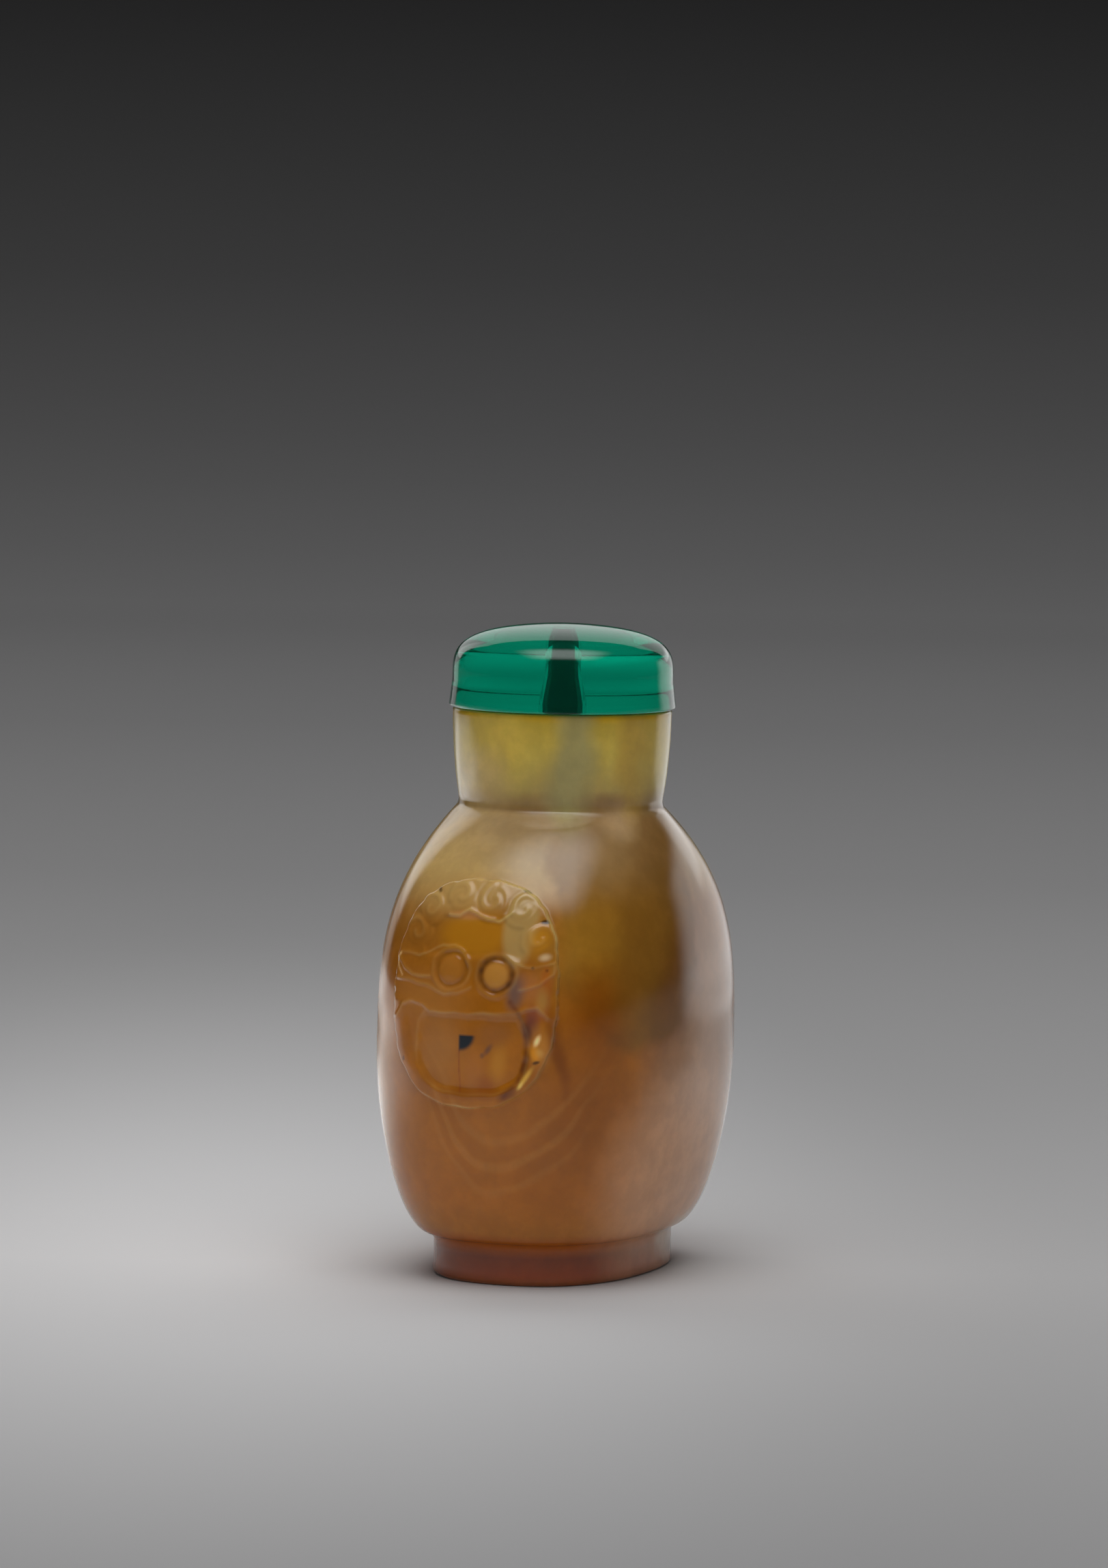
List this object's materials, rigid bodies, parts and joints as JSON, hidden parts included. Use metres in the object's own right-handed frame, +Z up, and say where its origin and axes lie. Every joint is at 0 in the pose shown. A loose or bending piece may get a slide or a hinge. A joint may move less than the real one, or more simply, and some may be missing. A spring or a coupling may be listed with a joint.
{
  "type": "snuff bottle",
  "caption": "Flattened ovoid agate snuff bottle with round neck, oval foot, beast mask and mock ring carved on each narrow side, and a domed green glass stopper.",
  "frame": {"origin": "centre of the underside of the foot rim, where the bottle stands", "axes": "+X across the broad faces, out of one narrow side with its mask; +Y out of one broad face; +Z up through the neck"},
  "size_m": [0.0434, 0.0322, 0.0643],
  "materials": {
    "agate": "polished, translucent",
    "green_glass": "polished",
    "cork": "matte"
  },
  "bodies": {
    "root": {"bottle": "agate", "stopper": "green_glass", "stopper_plug": "cork"}
  },
  "joints": []
}
